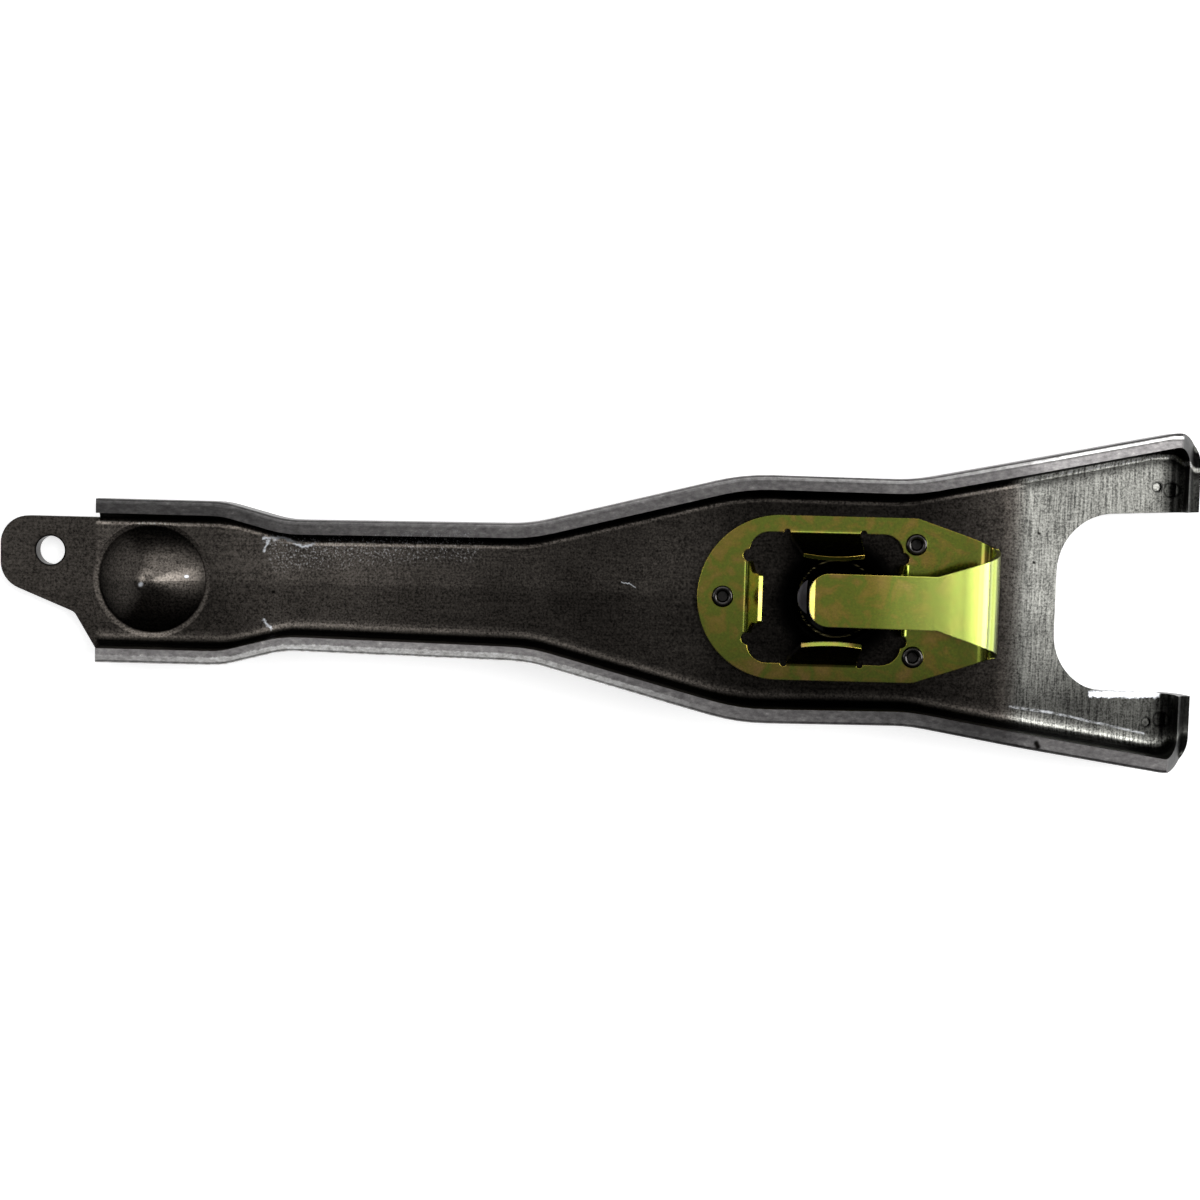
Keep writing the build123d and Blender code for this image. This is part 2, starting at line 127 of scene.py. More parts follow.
bpy.ops.mesh.primitive_plane_add(size=20.0, location=(0, 0, table_level))
table = bpy.context.object
table.name = "table"
bpy.ops.mesh.primitive_cylinder_add(radius=wall_radius, depth=2.0, end_fill_type="NOTHING")
wall = bpy.context.object
wall.name = "far_wall"
for paper_piece in (table, wall):
    paper_piece.data.materials.append(paper)
print("table at", round(table_level / MM, 2), "mm, wall at", wall_radius, "m")

# %% [markdown]
# ## Light
#
# Metal shows its shape by what it reflects. The room is dark near the horizon and dim
# overhead, darker in front than behind and on the right than on the left, so walls that
# stand up go black and the flat web stays dark. A tall soft light on the right is caught by
# the sloping tines, by the curl of the clip and by the right flank of the push-rod cup. A
# long one behind lights the foot of the near flange, and a small one on the left picks out
# the other side of each bend. Together they light a matt colour about as it is written.
# A picture of a studio could light it too, but lamps and a shaded room are easier to place.

# %% Room
horizon_level, overhead_level = 0.03, 0.52
room_world = bpy.context.scene.world or bpy.data.worlds.new("room")
bpy.context.scene.world = room_world
room_world.use_nodes = True
tree = room_world.node_tree
tree.nodes.clear()
coordinates = add(tree, "TexCoord")
heading = add(tree, "SeparateXYZ", links={0: coordinates.outputs["Generated"]})
level = add(tree, "MapRange", {"From Min": 0.15, "From Max": 1.0,
                               "To Min": horizon_level, "To Max": overhead_level},
            {"Value": heading.outputs["Z"]})
leftward = add(tree, "MapRange", {"From Min": -0.6, "From Max": 0.6,
                                  "To Min": 1.3, "To Max": 0.6},
               {"Value": heading.outputs["X"]})
backward = add(tree, "MapRange", {"From Min": -0.22, "From Max": 0.08,
                                  "To Min": 0.15, "To Max": 1.2},
               {"Value": heading.outputs["Y"]})
for factor in (leftward, backward):
    level = add(tree, "Math", {"operation": "MULTIPLY"},
                {0: level.outputs[0], 1: factor.outputs[0]})
room = add(tree, "Background", {"Color": linear("#ffffff")}, {"Strength": level.outputs[0]})
add(tree, "OutputWorld", links={"Surface": room.outputs[0]})
print("room is", horizon_level, "at the horizon and", overhead_level, "overhead,",
      "times its left and back factors")

# %% Soft lamps
LAMP_DISTANCE = 1.2


def softbox(name, direction, width, height, radiance):
    """A lamp that looks at the pivot from a direction, with the glow of its face given."""
    lamp = bpy.data.lights.new(name, "AREA")
    lamp.shape = "RECTANGLE"
    lamp.size = width
    lamp.size_y = height
    lamp.energy = radiance * math.pi * width * height
    holder = bpy.data.objects.new(name, lamp)
    bpy.context.scene.collection.objects.link(holder)
    towards = Vector(direction).normalized()
    holder.location = towards * LAMP_DISTANCE
    holder.rotation_mode = "QUATERNION"
    holder.rotation_quaternion = towards.to_track_quat("Z", "Y")
    print(name, "at", [round(part, 2) for part in holder.location], "m")


softbox("key_right", (0.76, 0.07, 0.64), 0.5, 1.15, 6.5)
softbox("bank_behind", (0.0, 0.68, 0.73), 1.4, 0.6, 1.4)
softbox("fill_left", (-0.64, 0.08, 0.76), 0.4, 0.4, 2.2)

# %% [markdown]
# ## Camera
#
# The camera looks down into the channel from half a metre above its middle. It is tipped
# by four degrees, and turned by one and a half, as the lever doesn't lie quite square. From
# so near, a normal lens shows the inner walls of the flanges, which a parallel view hides.

# %% Camera
camera_data = bpy.data.cameras.new("camera")
camera_data.sensor_width = 36.0
camera_data.lens = 53.4
camera_data.clip_start = 0.01
camera = bpy.data.objects.new("camera", camera_data)
bpy.context.scene.collection.objects.link(camera)
camera.location = (-66.67 * MM, 32.83 * MM, 495.58 * MM)
camera.rotation_mode = "ZYX"
camera.rotation_euler = (math.radians(-4.0), 0.0, math.radians(1.474))
bpy.context.scene.camera = camera
bpy.context.scene.view_settings.view_transform = "Standard"
print("camera at", [round(value, 3) for value in camera.location])

# %% [markdown]
# ## Measure the lever
#
# A press leaves a different skin on each part of a stamping. The flat web keeps the mill's
# rolled skin, and the top of each flange is a sheared edge, which is brighter. To put each
# finish in its place, the shader needs to know how high a point is above the web and how far
# it is from the flange's outer side. Rays cast at the mesh give both, so the finish follows
# the part if its size changes.

# %% Web lines and outline
lever = nodes["fork_lever"]
bpy.context.view_layer.update()


def web_height(x, y):
    """The height of the lever's upper face at a point, all in millimetres."""
    start = Vector((x * MM, y * MM, 0.1))
    _, place, _, _ = lever.ray_cast(start, Vector((0, 0, -1)))
    return place.z / MM


def outer_side(x, side, height):
    """Where the outer wall of a flange stands at a place along the lever."""
    start = Vector((x * MM, side * 0.1, height * MM))
    _, place, _, _ = lever.ray_cast(start, Vector((0, -side, 0)))
    return place.y / MM


# The web is flat on the arm and at the pivot, and slopes between them and on the tines
arm_level = web_height(-168, 0)
pivot_level = web_height(44, 0)
arm_rise = (web_height(-60, 0) - web_height(-140, 0)) / 80
arm_line = web_height(-100, 0) + 100 * arm_rise
tine_fall = (web_height(88, 28) - web_height(66, 28)) / 22
tine_line = web_height(66, 28) - 66 * tine_fall

outline_start, outline_end = -205.0, 100.0
stations = 62
outline = []
for step in range(stations):
    x = outline_start + (outline_end - outline_start) * step / (stations - 1)
    level = min(max(arm_level, arm_line + arm_rise * x), pivot_level, tine_line + tine_fall * x)
    sides = [outer_side(x, side, level + 3) for side in (1, -1)]
    outline.append((x, sides))
print("web at", round(arm_level, 2), "and", round(pivot_level, 2), "mm")
print("slopes", round(arm_rise, 4), round(tine_fall, 4))
print("half widths", [round((sides[0] - sides[1]) / 2, 1) for _, sides in outline[::10]])

# %% [markdown]
# ## Shared parts of the shaders
#
# `look_up` reads a value from a short table, straight between its rows. `height_above_web`
# turns a point's place into its height above the web, and `edge_distance` tells how far it
# lies inside the flanges' outer sides. `marks` is 1 on short strokes and 0 away from them,
# for the scratches and dents that a used press tool leaves. `product` multiplies levels.

# %% Look up a table


def look_up(tree, value, table):
    """A value read from a table of places and levels, straight between its rows."""
    first, last = table[0][0], table[-1][0]
    levels = [level for _, level in table]
    low, high = min(levels), max(levels)
    share = add(tree, "MapRange", {"From Min": first, "From Max": last}, {"Value": value})
    node = add(tree, "FloatCurve", links={"Value": share.outputs[0]})
    curve = node.mapping.curves[0]
    rows = [((at - first) / (last - first), (level - low) / (high - low)) for at, level in table]
    curve.points[0].location = rows[0]
    curve.points[-1].location = rows[-1]
    for row in rows[1:-1]:
        curve.points.new(*row)
    for point in curve.points:
        point.handle_type = "VECTOR"
    node.mapping.update()
    return add(tree, "MapRange", {"To Min": low, "To Max": high},
               {"Value": node.outputs[0]}).outputs[0]


print("tables ready")

# %% Places on the lever


def height_above_web(tree, x, z):
    """A point's height above the web in millimetres, from its place along and up."""
    arm = add(tree, "Math", {"operation": "MULTIPLY_ADD", 1: arm_rise, 2: arm_line}, {0: x})
    arm = add(tree, "Math", {"operation": "MAXIMUM", 1: arm_level}, {0: arm.outputs[0]})
    arm = add(tree, "Math", {"operation": "MINIMUM", 1: pivot_level}, {0: arm.outputs[0]})
    tine = add(tree, "Math", {"operation": "MULTIPLY_ADD", 1: tine_fall, 2: tine_line}, {0: x})
    web = add(tree, "Math", {"operation": "MINIMUM"}, {0: arm.outputs[0], 1: tine.outputs[0]})
    return add(tree, "Math", {"operation": "SUBTRACT"}, {0: z, 1: web.outputs[0]}).outputs[0]


def edge_distance(tree, x, y):
    """How far a point lies inside the flanges' outer sides, in millimetres."""
    top = look_up(tree, x, [(along, sides[0]) for along, sides in outline])
    foot = look_up(tree, x, [(along, sides[1]) for along, sides in outline])
    from_top = add(tree, "Math", {"operation": "SUBTRACT"}, {0: top, 1: y})
    from_foot = add(tree, "Math", {"operation": "SUBTRACT"}, {0: y, 1: foot})
    nearer = add(tree, "Math", {"operation": "MINIMUM"},
                 {0: from_top.outputs[0], 1: from_foot.outputs[0]})
    return nearer.outputs[0]


print("places ready;", len(outline), "stations along the outline")

# %% Strokes and products


def mark(tree, flat_place, start, end, width):
    """A mask that is 1 on a stroke between two points and fades out past its width."""
    run = Vector((end[0] - start[0], end[1] - start[1], 0))
    offset = add(tree, "VectorMath", {"operation": "SUBTRACT", 1: (*start, 0)}, {0: flat_place})
    share = add(tree, "VectorMath", {"operation": "DOT_PRODUCT", 1: run / run.length_squared},
                {0: offset.outputs[0]})
    share = add(tree, "Math", {"operation": "ADD", "use_clamp": True, 1: 0.0},
                {0: share.outputs["Value"]})
    nearest = add(tree, "VectorMath", {"operation": "SCALE", 0: run}, {"Scale": share.outputs[0]})
    away = add(tree, "VectorMath", {"operation": "DISTANCE"},
               {0: offset.outputs[0], 1: nearest.outputs[0]})
    mask = add(tree, "MapRange", {"interpolation_type": "SMOOTHSTEP",
                                  "From Min": width * 0.15, "From Max": width * 0.7,
                                  "To Min": 1.0, "To Max": 0.0},
               {"Value": away.outputs["Value"]})
    return mask.outputs[0]


def marks(tree, flat_place, strokes):
    """All the strokes of a list as one mask."""
    masks = [mark(tree, flat_place, *stroke) for stroke in strokes]
    total = masks[0]
    for other in masks[1:]:
        total = add(tree, "Math", {"operation": "MAXIMUM"}, {0: total, 1: other}).outputs[0]
    return total


def product(tree, factors):
    """Several levels multiplied into one."""
    total = factors[0]
    for factor in factors[1:]:
        total = add(tree, "Math", {"operation": "MULTIPLY"}, {0: total, 1: factor}).outputs[0]
    return total


print("strokes and products ready")

# %% [markdown]
# ## The pressed steel
#
# The lever is hot-rolled sheet, pickled, oiled and pressed. Its skin is dark, with a fine
# sparkle of bare grains and faint mill lines, about half a millimetre wide. They are drawn a
# little coarser than on the real sheet, where many are finer than a tenth of a millimetre.
# The skin isn't one tone: it is painted pale on the tines, where they reflect the right lamp,
# and painted black with shade under the clip and in the feet of the flanges, where each foot
# also has a painted thin highlight line. The sheared flange edges are bare and paler, with a
# bright band on the outer side where the punch burnished them, and painted light and shade
# along them. Bare scratches, a galled patch and a burr on the throat's edge break the skin.
# The pivot socket is wet with black grease, with painted shade round it and painted highlights
# on its lip and wall, and the push-rod cup carries painted highlights and shade.
#
# All this could be painted on a picture and wrapped round the lever. Nodes that read each
# point's place need no unwrapping, stay sharp from any distance, and use the measured
# outline, so that the lines stay in the bends.

# %% Pressed steel: places
steel = bpy.data.materials.new("oiled_hot_rolled_steel")
steel.use_nodes = True
tree = steel.node_tree
tree.nodes.clear()
coordinates = add(tree, "TexCoord")
place = add(tree, "VectorMath", {"operation": "SCALE", "Scale": 1 / MM},
            {0: coordinates.outputs["Object"]}).outputs[0]
axes = add(tree, "SeparateXYZ", links={0: place})
x, y, z = [axes.outputs[axis] for axis in "XYZ"]
flat_place = add(tree, "VectorMath", {"operation": "MULTIPLY", 1: (1, 1, 0)},
                 {0: place}).outputs[0]
above_web = height_above_web(tree, x, z)
inside_edge = edge_distance(tree, x, y)
far_side = add(tree, "MapRange", {"From Min": -1.0, "From Max": 1.0}, {"Value": y}).outputs[0]
on_tines = add(tree, "MapRange", {"interpolation_type": "SMOOTHSTEP",
                                  "From Min": 46.0, "From Max": 53.0}, {"Value": x}).outputs[0]

print("steel: places need", len(tree.nodes), "nodes")

# %% Pressed steel: grain
# Grains about 0.6 mm wide, with faint lines along and across that are as wide
grains = add(tree, "TexNoise", {"Scale": 1.7, "Detail": 4.0, "Roughness": 0.7}, {"Vector": place})
lines_along = add(tree, "VectorMath", {"operation": "MULTIPLY", 1: (0.10, 1.6, 0.2)}, {0: place})
lines_along = add(tree, "TexNoise", {"Scale": 1.0, "Detail": 3.0, "Roughness": 0.6},
                  {"Vector": lines_along.outputs[0]})
lines_across = add(tree, "VectorMath", {"operation": "MULTIPLY", 1: (1.9, 0.12, 0.2)},
                   {0: place})
lines_across = add(tree, "TexNoise", {"Scale": 1.0, "Detail": 3.0, "Roughness": 0.6},
                   {"Vector": lines_across.outputs[0]})
across_share = add(tree, "MapRange", {"To Min": 0.12, "To Max": 0.75}, {"Value": on_tines})
grain = add(tree, "Math", {"operation": "MULTIPLY_ADD", 1: 0.22},
            {0: lines_along.outputs["Fac"], 2: grains.outputs["Fac"]})
grain = add(tree, "Math", {"operation": "MULTIPLY_ADD"},
            {0: lines_across.outputs["Fac"], 1: across_share.outputs[0], 2: grain.outputs[0]})
# The lines' average is taken out again, so that the tone doesn't drift with their share
average = add(tree, "Math", {"operation": "MULTIPLY_ADD", 1: 0.5, 2: 0.61},
              {0: across_share.outputs[0]})
grain = add(tree, "Math", {"operation": "SUBTRACT"},
            {0: grain.outputs[0], 1: average.outputs[0]}).outputs[0]
grain_level = add(tree, "MapRange", {"From Min": -0.15, "From Max": 0.25,
                                     "To Min": 0.25, "To Max": 2.3}, {"Value": grain}).outputs[0]
# Clouds of more and less oil, about 20 mm wide
clouds = add(tree, "TexNoise", {"Scale": 0.045, "Detail": 3.0}, {"Vector": place})
cloud_level = add(tree, "MapRange", {"From Min": 0.35, "From Max": 0.65,
                                     "To Min": 0.8, "To Max": 1.2},
                  {"Value": clouds.outputs["Fac"]}).outputs[0]

print("steel: with its grain,", len(tree.nodes), "nodes")

# %% [markdown]
# ### How pale the skin is
#
# Oil darkens steel and rubbing brightens it, and neither changes its hue much. The tables also
# paint light and shade: highlights where lamps are reflected, and shade in bends, recesses and
# under the clip. So one tone is enough: a product of short tables, each for one part of the
# lever, times the grain. A mask for each stain, highlight and shade would do too, but a table
# shows at a glance how pale each place is.

# %% Pressed steel: tone along the lever and across its feet
# Painted light and shade along the lever: it changes along the arm, is dark under the clip,
# pale on the tines where they reflect the right lamp, and has a narrow painted highlight
# line in the end lips' bend.
along_tone = look_up(tree, x, [
    (-238, 1.8), (-212, 1.6), (-180, 1.1), (-160, 2.2), (-130, 2.2), (-100, 1.25), (-70, 1.0),
    (-45, 1.3), (-30, 0.5), (-10, 0.3), (22, 0.3), (34, 0.55), (44, 1.0), (49, 1.4), (54, 3.2),
    (75, 3.0), (93.5, 2.6), (95.5, 0.8), (97.1, 0.8), (97.6, 7.0), (98.0, 7.0), (98.5, 0.35),
    (102, 0.35),
])
# Across the feet of the flanges: painted shade in the bend, then a painted highlight line, then the
# web
near_foot = look_up(tree, inside_edge, [
    (0, 0.12), (4.0, 0.12), (5.2, 0.15), (6.0, 0.7), (6.6, 2.6), (7.4, 2.0), (8.6, 1.0), (60, 1.0),
])
far_foot = look_up(tree, inside_edge, [
    (0, 0.12), (4.0, 0.12), (5.6, 0.15), (6.5, 1.0), (6.8, 11.0), (7.1, 10.0), (7.6, 1.6), (60, 1.0),
])
far_tine_foot = look_up(tree, inside_edge, [
    (0, 0.12), (4.0, 0.12), (5.2, 0.2), (5.7, 12.0), (6.3, 10.0), (6.8, 0.4), (7.5, 0.3), (9.5, 1.0),
    (60, 1.0),
])
far_foot = add(tree, "Mix", {"data_type": "FLOAT"},
               {0: on_tines, 2: far_foot, 3: far_tine_foot}).outputs[0]
foot_tone = add(tree, "Mix", {"data_type": "FLOAT"},
                {0: far_side, 2: near_foot, 3: far_foot}).outputs[0]
# The tab at the arm's end is flat and has no feet
channel = add(tree, "MapRange", {"From Min": -211.0, "From Max": -210.0}, {"Value": x})
foot_tone = add(tree, "Mix", {"data_type": "FLOAT", 2: 1.0},
                {0: channel.outputs[0], 3: foot_tone}).outputs[0]
print("steel: with the tone of its feet,", len(tree.nodes), "nodes")

# %% Pressed steel: tone of the cup, the tines, the hole and the staking marks
# The push-rod cup has a painted highlight round its tip, painted shade in the crease at its
# foot and a painted highlight on its rim
cup_middle = (-194.7, 0, 0)
from_cup = add(tree, "VectorMath", {"operation": "DISTANCE", 1: cup_middle},
               {0: flat_place}).outputs["Value"]
cup_tone = look_up(tree, from_cup, [
    (0, 4.5), (3, 2.6), (8, 2.2), (12.0, 1.2), (14.9, 0.4), (15.3, 0.4), (15.6, 2.0), (16.5, 2.0),
    (16.9, 1.0), (40, 1.0),
])
# Painted light: the near tine is painted darker and the far one lighter, as the lamps fall on them
tine_tone = look_up(tree, y, [
    (-60, 0.36), (-28, 0.38), (-8, 0.95), (0, 1.35), (20, 1.0), (60, 0.97),
])
off_foot = look_up(tree, inside_edge, [(0, 0), (7.6, 0), (10, 1), (60, 1)])
tine_tone = add(tree, "Mix", {"data_type": "FLOAT", 2: 1.0},
                {0: product(tree, [on_tines, off_foot]), 3: tine_tone}).outputs[0]
# Painted shade darkens the wall of the return spring's hole
spring_hole = (-223.7, 7.6, 0)
from_hole = add(tree, "VectorMath", {"operation": "DISTANCE", 1: spring_hole},
                {0: flat_place}).outputs["Value"]
hole_tone = look_up(tree, from_hole, [(0, 0.05), (4.3, 0.05), (4.7, 1.0), (40, 1.0)])
# Two staking marks on each tine have a lighter floor and a painted dark rim of shade
large_mark, small_mark = 2.1, 1.35
staking_tones = []
for middle, radius, floor_tone, rim_tone in (
    ((94.8, 32.8, 0), large_mark, 2.2, 0.3),
    ((94.8, -32.8, 0), large_mark, 1.6, 0.3),
    ((90.6, 33.6, 0), small_mark, 2.6, 0.35),
    ((90.6, -33.6, 0), small_mark, 1.4, 0.4),
):
    away = add(tree, "VectorMath", {"operation": "DISTANCE", 1: middle},
               {0: flat_place}).outputs["Value"]
    staking_tones.append(look_up(tree, away, [
        (0, floor_tone), (radius - 0.5, floor_tone), (radius - 0.1, rim_tone),
        (radius + 0.2, rim_tone), (radius + 0.5, 1.0), (9, 1.0),
    ]))
# The tone holds painted light and shade as well as the skin's own tone
tone = product(tree, [along_tone, foot_tone, cup_tone, tine_tone, hole_tone, *staking_tones])
print("steel: with", len(staking_tones), "staking marks,", len(tree.nodes), "nodes")

# %% Pressed steel: the back, and the skin's colour
# Outside the channel and on its back the skin was rubbed evenly, and is one tone
outer_wall = look_up(tree, inside_edge, [(-2, 1), (0.6, 1), (1.2, 0), (60, 0)])
back_face = look_up(tree, above_web, [(-30, 1), (-1.2, 1), (-0.8, 0), (30, 0)])
outside = add(tree, "Math", {"operation": "MAXIMUM"}, {0: outer_wall, 1: back_face})
tone = add(tree, "Mix", {"data_type": "FLOAT", 3: 1.3},
           {0: outside.outputs[0], 2: tone}).outputs[0]
tone = product(tree, [tone, cloud_level, grain_level])
# Brown with oil on the arm, and greyer on the tines
hue = add(tree, "Mix", {"data_type": "RGBA", 6: linear("#2f2c29"), 7: linear("#2d2d2b")},
          {0: on_tines}).outputs[2]
skin = add(tree, "VectorMath", {"operation": "SCALE"}, {0: hue, "Scale": tone}).outputs[0]

print("steel: with its skin,", len(tree.nodes), "nodes")

# %% [markdown]
# ### Sheared edges
#
# A punch cuts sheet in two steps: it burnishes a bright band, and the rest of the thickness
# tears and stays grey and rough. The top of each flange shows both side by side. They could
# be two materials on faces of their own, but the edge is one face, so the shader tells the
# band by its distance from the outer side. The streaks are about two millimetres long.

# %% Pressed steel: torn metal
# Grey and uneven, with painted light and shade in another tone along each flange
streak_place = add(tree, "VectorMath", {"operation": "MULTIPLY", 1: (0.5, 0.9, 0.4)}, {0: place})
streaks = add(tree, "TexNoise", {"Scale": 1.0, "Detail": 5.0, "Roughness": 0.7},
              {"Vector": streak_place.outputs[0]}).outputs["Fac"]
torn = add(tree, "ValToRGB", links={"Fac": streaks},
           stops=[(0.25, "#4c4a4a"), (0.5, "#6a6868"), (0.65, "#7c7a79"), (0.8, "#b5b3b1")])
far_torn = look_up(tree, x, [
    (-210, 0.45), (-165, 0.6), (-130, 0.9), (-63, 1.35), (-20, 1.05), (0, 0.95), (35, 1.2),
    (60, 1.15), (96.5, 1.1), (98.4, 0.35), (102, 0.35),
])
near_torn = look_up(tree, x, [
    (-210, 2.2), (-150, 2.3), (-120, 2.9), (-90, 2.6), (-60, 1.7), (-30, 1.4), (5, 0.8),
    (35, 0.35), (60, 0.5), (96.5, 0.6), (98.4, 0.25), (102, 0.25),
])
torn_tone = add(tree, "Mix", {"data_type": "FLOAT"}, {0: far_side, 2: near_torn, 3: far_torn})
torn = add(tree, "VectorMath", {"operation": "SCALE"},
           {0: torn.outputs["Color"], "Scale": torn_tone.outputs[0]}).outputs[0]
print("steel: with torn metal,", len(tree.nodes), "nodes")

# %% Pressed steel: burnished metal
# A ragged burnished band on the near flange, painted brightest where it catches the light,
# and a thin painted highlight line on the far one's rounded outer edge
burnished = add(tree, "ValToRGB", links={"Fac": streaks},
                stops=[(0.3, "#a9a7a5"), (0.5, "#dcdbd9"), (0.7, "#ffffff")])
band_width = add(tree, "MapRange", {"To Min": 1.5, "To Max": 0.4}, {"Value": far_side})
band_edge = add(tree, "Math", {"operation": "MULTIPLY_ADD", 1: 1.3},
                {0: streaks, 2: band_width.outputs[0]})
band = add(tree, "Math", {"operation": "SUBTRACT"}, {0: inside_edge, 1: band_edge.outputs[0]})
band = add(tree, "MapRange", {"interpolation_type": "SMOOTHSTEP", "From Min": -0.2,
                              "From Max": 0.2, "To Min": 1.0, "To Max": 0.0},
           {"Value": band.outputs[0]})
far_band = look_up(tree, x, [
    (-210, 0.05), (-40, 0.1), (-10, 0.3), (30, 0.35), (48, 0.6), (58, 1.0),
    (97.0, 1.0), (98.5, 0.2), (102, 0.2),
])
near_band = look_up(tree, x, [
    (-210, 0.3), (-188, 0.5), (-172, 1.0), (-85, 1.0), (-60, 0.7), (-35, 0.05), (102, 0.0),
])
far_line = look_up(tree, inside_edge, [(0, 0), (0.4, 0), (0.6, 1), (1.2, 1), (1.4, 0), (4, 0)])
band = add(tree, "Mix", {"data_type": "FLOAT"}, {0: far_side, 2: band.outputs[0], 3: far_line})
# Painted shade: the torn metal is darker on both sides of the far line
beside_line = look_up(tree, inside_edge, [
    (0, 0.5), (0.45, 0.5), (0.6, 1), (1.2, 1), (1.4, 0.6), (1.7, 0.6), (2.0, 1), (4, 1),
])
beside_line = add(tree, "Mix", {"data_type": "FLOAT", 2: 1.0},
                  {0: product(tree, [far_side, far_band]), 3: beside_line})
torn = add(tree, "VectorMath", {"operation": "SCALE"},
           {0: torn, "Scale": beside_line.outputs[0]}).outputs[0]
band_strength = add(tree, "Mix", {"data_type": "FLOAT"}, {0: far_side, 2: near_band, 3: far_band})
band = product(tree, [band.outputs[0], band_strength.outputs[0]])
sheared_colour = add(tree, "Mix", {"data_type": "RGBA"},
                     {0: band, 6: torn, 7: burnished.outputs["Color"]})
# All of it shows only on top of the flanges
sheared = add(tree, "MapRange", {"interpolation_type": "SMOOTHSTEP",
                                 "From Min": 11.3, "From Max": 11.9}, {"Value": above_web})
base = add(tree, "Mix", {"data_type": "RGBA"},
           {0: sheared.outputs[0], 6: skin, 7: sheared_colour.outputs[2]}).outputs[2]

print("steel: with its sheared edges,", len(tree.nodes), "nodes")

# %% [markdown]
# ### Marks, grease and painted light
#
# The tool and years of handling left marks that are shallower than a tenth of a
# millimetre, and a few strokes are painted highlights instead. Each is a stroke between two
# points, in millimetres on the lever. Its place is made to wander a little, so that its edge
# is ragged. They could be cut into the mesh, but at that depth only their brightness shows.

# %% Pressed steel: scratches, painted highlights and galling
# A wandering place gives each stroke a ragged edge
wander = add(tree, "TexNoise", {"Scale": 0.9, "Detail": 2.0}, {"Vector": place})
wander = add(tree, "VectorMath", {"operation": "MULTIPLY_ADD", 1: (1.6, 1.6, 0),
                                  2: (-0.8, -0.8, 0)}, {0: wander.outputs["Color"]})
ragged_place = add(tree, "VectorMath", {"operation": "ADD"},
                   {0: flat_place, 1: wander.outputs[0]}).outputs[0]
breaks = add(tree, "MapRange", {"From Min": 0.34, "From Max": 0.46}, {"Value": streaks}).outputs[0]
# Scratches near the heel's corners, and a fine one in the middle of the arm
scratches = marks(tree, ragged_place, [
    ((-163.0, 12.6), (-156.9, 12.9), 0.9),
    ((-156.9, 12.9), (-151.5, 10.3), 0.9),
    ((-151.5, 10.3), (-148.5, 11.4), 0.8),
    ((-161.5, 12.0), (-162.8, 9.0), 0.7),
    ((-162.8, -10.8), (-160.5, -13.2), 0.9),
    ((-60.5, 3.4), (-56.5, 1.6), 0.4),
])
scratches = product(tree, [scratches, breaks])
# Two small painted highlights (glints) in the push-rod cup
spots = marks(tree, flat_place, [
    ((-196.1, -1.2), (-195.8, -1.0), 1.3),
    ((-184.4, 1.2), (-184.1, 1.2), 0.8),
])
# A faint painted highlight line along the near tine's foot
smooth_place = add(tree, "Mix", {"data_type": "VECTOR", 0: 0.3},
                   {4: flat_place, 5: ragged_place}).outputs[1]
die_line = marks(tree, smooth_place, [
    ((49.7, -29.2), (62.7, -31.0), 0.8),
    ((62.7, -31.0), (89.9, -36.8), 0.7),
])
faint = add(tree, "MapRange", {"From Min": 0.4, "From Max": 0.65, "To Min": 0.0, "To Max": 0.35},
            {"Value": streaks}).outputs[0]
die_line = product(tree, [die_line, faint])
# The bright burr on the near side of the throat
burr = mark(tree, ragged_place, (73.5, -25.6), (93.5, -25.6), 1.7)
# Galled metal beside the far foot of the arm
galled = marks(tree, ragged_place, [
    ((-161.0, 11.6), (-146.0, 10.8), 4.5),
    ((-158.0, 8.0), (-105.0, 12.5), 9.0),
])
flecks = add(tree, "MapRange", {"From Min": 0.56, "From Max": 0.68},
             {"Value": grains.outputs["Fac"]}).outputs[0]
galled = product(tree, [galled, flecks])
galled = add(tree, "Math", {"operation": "MULTIPLY", 1: 0.7}, {0: galled}).outputs[0]
# Bare metal marks, the painted glints and the painted highlight line share one pale colour
bare = scratches
for other in (galled, die_line, burr, spots):
    bare = add(tree, "Math", {"operation": "MAXIMUM"}, {0: bare, 1: other}).outputs[0]
base = add(tree, "Mix", {"data_type": "RGBA", 7: linear("#e2e5ea")}, {0: bare, 6: base}).outputs[2]
print("steel: with bare marks,", len(tree.nodes), "nodes")

# %% Pressed steel: pits, grease, painted shade and painted highlights
# Small dark pits, and a nick in the near flange
pits = marks(tree, flat_place, [
    ((-160.1, -2.7), (-159.8, -2.7), 1.0),
    ((54.6, -37.7), (55.1, -38.7), 1.7),
    ((55.9, 19.9), (56.1, 19.7), 0.8),
    ((54.8, 11.7), (55.0, 11.5), 0.8),
])
base = add(tree, "Mix", {"data_type": "RGBA", 7: linear("#0a0908")}, {0: pits, 6: base}).outputs[2]
# Black grease in the pivot socket, and painted shade round its mouth under the clip
from_pivot = add(tree, "VectorMath", {"operation": "LENGTH"}, {0: flat_place}).outputs["Value"]
greasy = add(tree, "MapRange", {"interpolation_type": "SMOOTHSTEP", "From Min": 14.0,
                                "From Max": 20.0, "To Min": 1.0, "To Max": 0.0},
             {"Value": from_pivot}).outputs[0]
base = add(tree, "Mix", {"data_type": "RGBA", 7: linear("#020202")},
           {0: greasy, 6: base}).outputs[2]
# A painted highlight: a thin bright ring on the lip at the mouth of the socket, broken into arcs
ring = look_up(tree, from_pivot, [(0, 0), (10.4, 0), (10.7, 1), (10.9, 1), (11.2, 0), (40, 0)])
worn = add(tree, "MapRange", {"From Min": 0.45, "From Max": 0.6},
           {"Value": lines_along.outputs["Fac"]})
ring = product(tree, [ring, worn.outputs[0]])
base = add(tree, "Mix", {"data_type": "RGBA", 7: linear("#b3a878")}, {0: ring, 6: base}).outputs[2]
